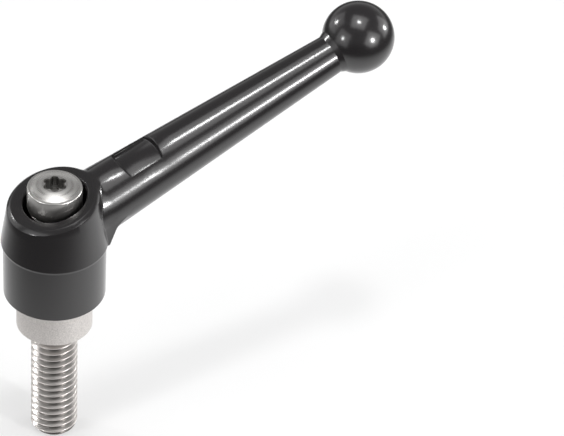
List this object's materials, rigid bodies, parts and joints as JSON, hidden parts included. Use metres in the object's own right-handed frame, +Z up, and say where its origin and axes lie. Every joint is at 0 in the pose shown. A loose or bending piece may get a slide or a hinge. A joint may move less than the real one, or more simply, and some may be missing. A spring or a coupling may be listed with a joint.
{
  "type": "adjustable clamping lever",
  "caption": "Ratcheting clamping lever: cast ball-end handle on a toothed insert with a threaded stud, held by a return spring and a domed screw; lift to turn free",
  "frame": {"origin": "centre of the collar's underside, where the lever seats on the clamped part", "axes": "+Z up along the stud's axis, away from the clamped part; +X along the handle's arm; +Y completes a right-handed frame"},
  "size_m": [0.0566, 0.0138, 0.0511],
  "materials": {
    "black_coating": "glossy black coating on a zinc casting",
    "blasted_steel": "matt blasted stainless steel",
    "bright_steel": "bright rolled steel",
    "spring_steel": "plain drawn spring wire",
    "turned_steel": "bright turned stainless steel"
  },
  "bodies": {
    "clamping_insert": {"serrated_insert": "blasted_steel", "threaded_stud": "bright_steel", "retaining_screw": "turned_steel"},
    "spring": {"return_spring": "spring_steel"},
    "handle": {"lever_handle": "black_coating"}
  },
  "joints": [
    {"name": "turn", "type": "hinge", "parent": "clamping_insert", "child": "spring", "pos_m": [0, 0, 0.01], "axis": [0, 0, 1], "continuous": true},
    {"name": "lift", "type": "slide", "parent": "spring", "child": "handle", "axis": [0, 0, 1], "range_m": [0, 0.0026], "stiffness_N_per_m": 1500, "springref_m": -0.003, "deforming": ["return_spring"]}
  ]
}
